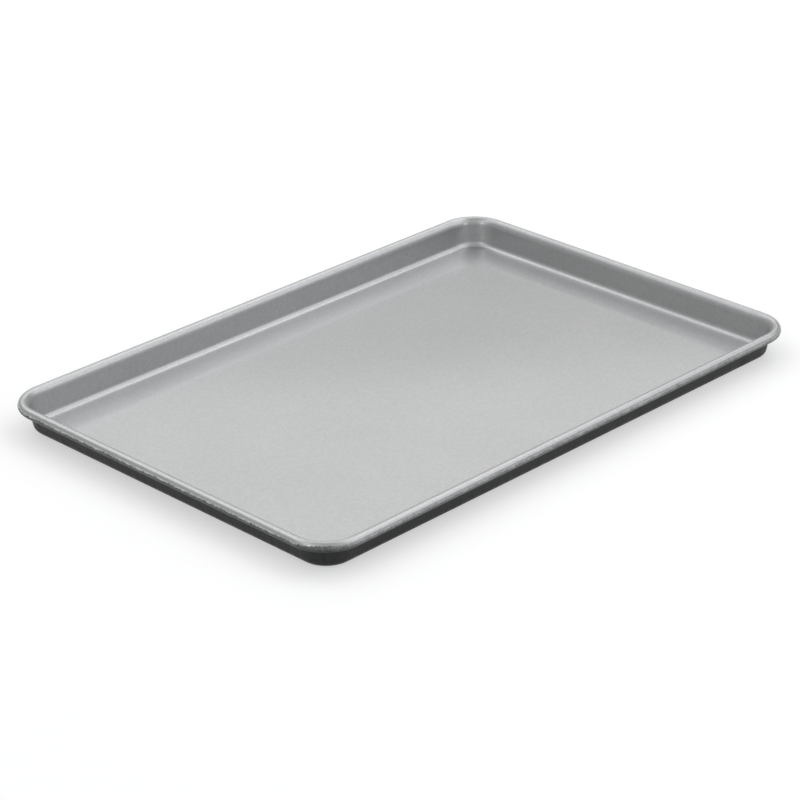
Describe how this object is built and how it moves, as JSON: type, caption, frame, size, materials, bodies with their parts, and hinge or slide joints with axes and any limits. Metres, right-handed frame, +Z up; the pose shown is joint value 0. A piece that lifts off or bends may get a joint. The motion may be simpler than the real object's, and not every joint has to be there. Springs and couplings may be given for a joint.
{
  "type": "jelly roll pan",
  "caption": "Shallow rectangular baking pan pressed from one sheet, with drafted walls, rounded corners and an edge curled outward round a hidden steel wire hoop.",
  "frame": {"origin": "centre of the pan's flat underside, on the surface that it rests on", "axes": "+Z up, +X along the pan's length, +Y across its width"},
  "size_m": [0.397, 0.2712, 0.019],
  "materials": {
    "coated_steel": "satin silver-grey nonstick coating inside and over the rim, charcoal coating outside",
    "steel_wire": "bare drawn wire"
  },
  "bodies": {
    "root": {"pan_shell": "coated_steel", "rim_wire": "steel_wire"}
  },
  "joints": []
}
